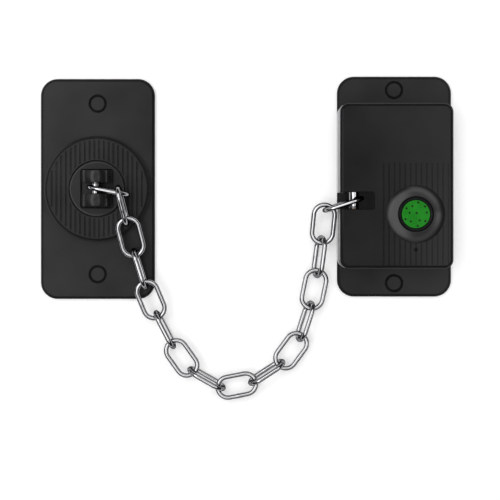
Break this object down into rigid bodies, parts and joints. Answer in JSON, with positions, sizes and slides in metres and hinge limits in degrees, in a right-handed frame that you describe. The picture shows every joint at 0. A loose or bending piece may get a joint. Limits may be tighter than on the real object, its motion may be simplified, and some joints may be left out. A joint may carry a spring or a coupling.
{
  "type": "biometric door chain lock",
  "caption": "Door chain lock opened by fingerprint: black battery housing with a sensor and latch notch, a chain of chromed oval links, and a swivelling ribbed anchor plate.",
  "frame": {"origin": "centre of the lock unit's back face", "axes": "+X from the chain towards the lock unit, across both units; +Y up along both plates; +Z out of the door, towards the fronts"},
  "size_m": [0.1958, 0.1538, 0.0244],
  "materials": {
    "black_metal": "fine black powder coat, satin",
    "black_plastic": "moulded black plastic, satin",
    "black_gloss": "black, glossy",
    "satin_metal": "satin bright metal",
    "chrome": "polished plating",
    "zinc_plated": "zinc plated",
    "brass": "machined",
    "green_glass": "green lens, lit from behind",
    "clear_plastic": "clear",
    "board_green": "solder mask",
    "foil": "wrinkled foil",
    "copper": "wound copper wire",
    "nylon": "natural nylon"
  },
  "bodies": {
    "lock": {"lock_back_plate": "black_metal", "lock_plug_top": "black_metal", "lock_plug_bottom": "black_metal", "cover_screw_1": "zinc_plated", "cover_screw_2": "zinc_plated", "cover_screw_3": "zinc_plated", "cover_screw_4": "zinc_plated", "lock_side_frame": "satin_metal", "lock_front_cover": "black_plastic", "sensor_bezel": "black_gloss", "sensor_window": "green_glass", "sensor_module": "black_gloss", "status_light_guide": "clear_plastic", "circuit_board": "board_green", "battery_cell": "foil", "charging_coil": "copper", "latch_guide_upper": "brass", "latch_guide_lower": "brass", "gearmotor": "zinc_plated", "motor_bracket": "zinc_plated"},
    "latch": {"latch_pin": "chrome"},
    "latch_drive": {"latch_pinion": "brass"},
    "link_16": {"chain_link_16": "chrome"},
    "link_15": {"chain_link_15": "chrome"},
    "link_14": {"chain_link_14": "chrome"},
    "link_13": {"chain_link_13": "chrome"},
    "link_12": {"chain_link_12": "chrome"},
    "link_11": {"chain_link_11": "chrome"},
    "link_10": {"chain_link_10": "chrome"},
    "link_09": {"chain_link_09": "chrome"},
    "link_08": {"chain_link_08": "chrome"},
    "link_07": {"chain_link_07": "chrome"},
    "link_06": {"chain_link_06": "chrome"},
    "link_05": {"chain_link_05": "chrome"},
    "link_04": {"chain_link_04": "chrome"},
    "link_03": {"chain_link_03": "chrome"},
    "link_02": {"chain_link_02": "chrome"},
    "link_01": {"chain_link_01": "chrome"},
    "swivel": {"swivel_rotor": "black_metal", "clevis_pin": "chrome"},
    "anchor": {"anchor_back_plate": "black_metal", "anchor_plug_top": "black_metal", "anchor_plug_bottom": "black_metal", "rosette_screw_1": "zinc_plated", "rosette_screw_2": "zinc_plated", "rosette_screw_3": "zinc_plated", "rosette_screw_4": "zinc_plated", "anchor_rosette": "black_metal", "swivel_washer": "nylon"}
  },
  "joints": [
    {"name": "latch_slide", "type": "slide", "parent": "lock", "child": "latch", "axis": [0, 1, 0], "range_m": [0, 0.0105]},
    {"name": "pinion_turn", "type": "hinge", "parent": "lock", "child": "latch_drive", "pos_m": [-0.0198, 0.0165, 0.0094], "axis": [1, 0, 0], "range_deg": [0, 251]},
    {"name": "link_16_lift", "type": "hinge", "parent": "lock", "child": "link_16", "pos_m": [-0.0198, -0.00695, 0.0106], "axis": [-0.3136, 0.9481, 0.0521], "range_deg": [0, 35]},
    {"name": "link_15_swing", "type": "hinge", "parent": "link_16", "child": "link_15", "pos_m": [-0.0334, -0.01137, 0.00914], "axis": [0, 0, -1], "range_deg": [-4, 50]},
    {"name": "link_14_swing", "type": "hinge", "parent": "link_15", "child": "link_14", "pos_m": [-0.03465, -0.02432, 0.00721], "axis": [0, 0, 1], "range_deg": [-50, 26]},
    {"name": "link_13_swing", "type": "hinge", "parent": "link_14", "child": "link_13", "pos_m": [-0.03703, -0.04245, 0.00575], "axis": [0, 0, -1], "range_deg": [-50, 50]},
    {"name": "link_12_swing", "type": "hinge", "parent": "link_13", "child": "link_12", "pos_m": [-0.03966, -0.05534, 0.00581], "axis": [0, 0, 1], "range_deg": [-50, 50]},
    {"name": "link_11_swing", "type": "hinge", "parent": "link_12", "child": "link_11", "pos_m": [-0.04533, -0.07279, 0.00581], "axis": [0, 0, -1], "range_deg": [-50, 41]},
    {"name": "link_10_swing", "type": "hinge", "parent": "link_11", "child": "link_10", "pos_m": [-0.05315, -0.08336, 0.00594], "axis": [0, 0, 1], "range_deg": [-36, 50]},
    {"name": "link_09_swing", "type": "hinge", "parent": "link_10", "child": "link_09", "pos_m": [-0.06854, -0.09335, 0.00594], "axis": [0, 0, -1], "range_deg": [-50, 32]},
    {"name": "link_08_swing", "type": "hinge", "parent": "link_09", "child": "link_08", "pos_m": [-0.08145, -0.09586, 0.00598], "axis": [0, 0, 1], "range_deg": [-32, 50]},
    {"name": "link_07_swing", "type": "hinge", "parent": "link_08", "child": "link_07", "pos_m": [-0.09742, -0.08683, 0.00598], "axis": [0, 0, -1], "range_deg": [-50, 36]},
    {"name": "link_06_swing", "type": "hinge", "parent": "link_07", "child": "link_06", "pos_m": [-0.10505, -0.07612, 0.00603], "axis": [0, 0, 1], "range_deg": [-41, 50]},
    {"name": "link_05_swing", "type": "hinge", "parent": "link_06", "child": "link_05", "pos_m": [-0.11336, -0.05981, 0.0073], "axis": [0, 0, -1], "range_deg": [-50, 50]},
    {"name": "link_04_swing", "type": "hinge", "parent": "link_05", "child": "link_04", "pos_m": [-0.11821, -0.04781, 0.00964], "axis": [0, 0, 1], "range_deg": [-50, 50]},
    {"name": "link_03_swing", "type": "hinge", "parent": "link_04", "child": "link_03", "pos_m": [-0.12356, -0.03033, 0.01119], "axis": [0, 0, -1], "range_deg": [-50, 50]},
    {"name": "link_02_swing", "type": "hinge", "parent": "link_03", "child": "link_02", "pos_m": [-0.12656, -0.01783, 0.01394], "axis": [0, 0, 1], "range_deg": [-50, 50]},
    {"name": "link_01_swing", "type": "hinge", "parent": "link_02", "child": "link_01", "pos_m": [-0.13045, -0.00096, 0.02004], "axis": [0, 0, -1], "range_deg": [-32, 7]},
    {"name": "clevis_fold", "type": "hinge", "parent": "link_01", "child": "swivel", "pos_m": [-0.1414, -0.00112, 0.0144], "axis": [0, 1, 0], "range_deg": [0, 160]},
    {"name": "swivel_turn", "type": "hinge", "parent": "swivel", "child": "anchor", "pos_m": [-0.1414, -0.00112, 0], "axis": [0, 0, 1], "continuous": true}
  ],
  "couplings": [
    {"joint": "pinion_turn", "follows": "latch_slide", "rad_per_m": 416.67}
  ]
}
